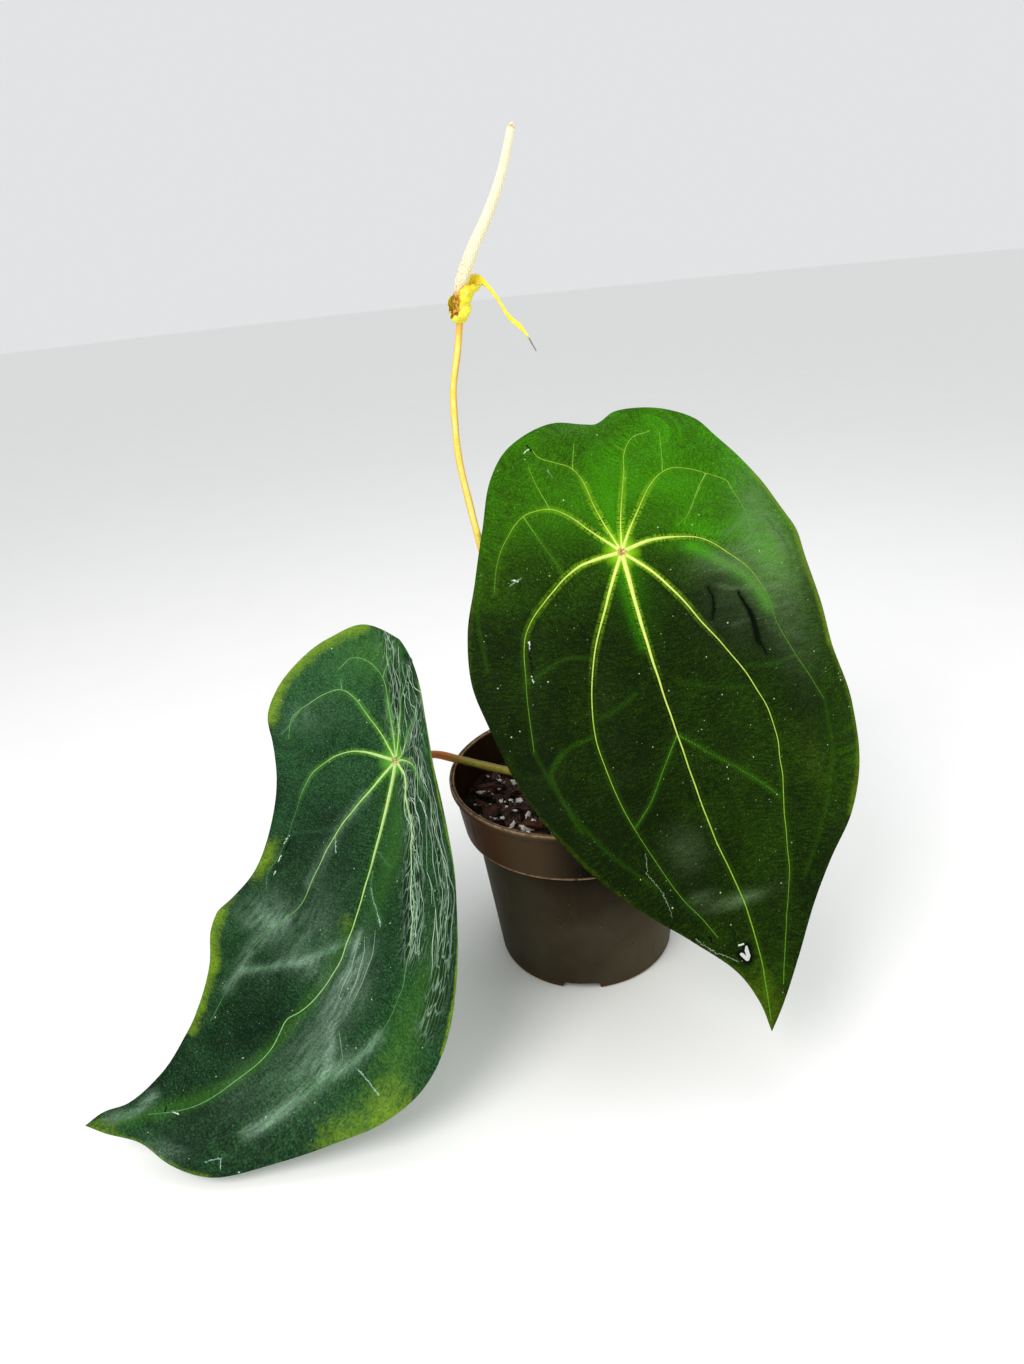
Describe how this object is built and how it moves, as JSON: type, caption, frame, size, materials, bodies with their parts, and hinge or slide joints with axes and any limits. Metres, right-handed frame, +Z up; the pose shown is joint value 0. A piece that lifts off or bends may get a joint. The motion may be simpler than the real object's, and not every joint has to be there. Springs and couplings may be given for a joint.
{
  "type": "potted anthurium",
  "caption": "Young peltate anthurium with broad veined leaves on slim stalks and a withering flower spike, growing in potting mix in a round nursery pot.",
  "frame": {"origin": "centre of the flat pad under the pot, on the surface that it stands on", "axes": "+Z up along the pot's axis, +X to the right-hand leaf's side, -Y to the front, where both leaf faces show"},
  "size_m": [0.3338, 0.1885, 0.3656],
  "materials": {
    "pot_plastic": "satin, moulded, taupe brown",
    "potting_mix": "rough black compost with bark chips and perlite",
    "stem_bark": "dry and papery",
    "leaf_stalk": "satin olive with dark specks",
    "flower_stalk": "satin yellow",
    "spathe_skin": "withered, creased yellow",
    "spadix_cream": "finely beaded cream",
    "leaf_dark_green": "velvety satin dark green with pale veins",
    "leaf_blue_green": "glossy blue green with pale veins"
  },
  "bodies": {
    "root": {"pot": "pot_plastic", "potting_mix": "potting_mix", "stem": "stem_bark", "petiole_right": "leaf_stalk", "petiole_left": "leaf_stalk", "peduncle": "flower_stalk", "spathe": "spathe_skin", "spadix": "spadix_cream", "blade_right": "leaf_dark_green", "blade_left": "leaf_blue_green"}
  },
  "joints": []
}
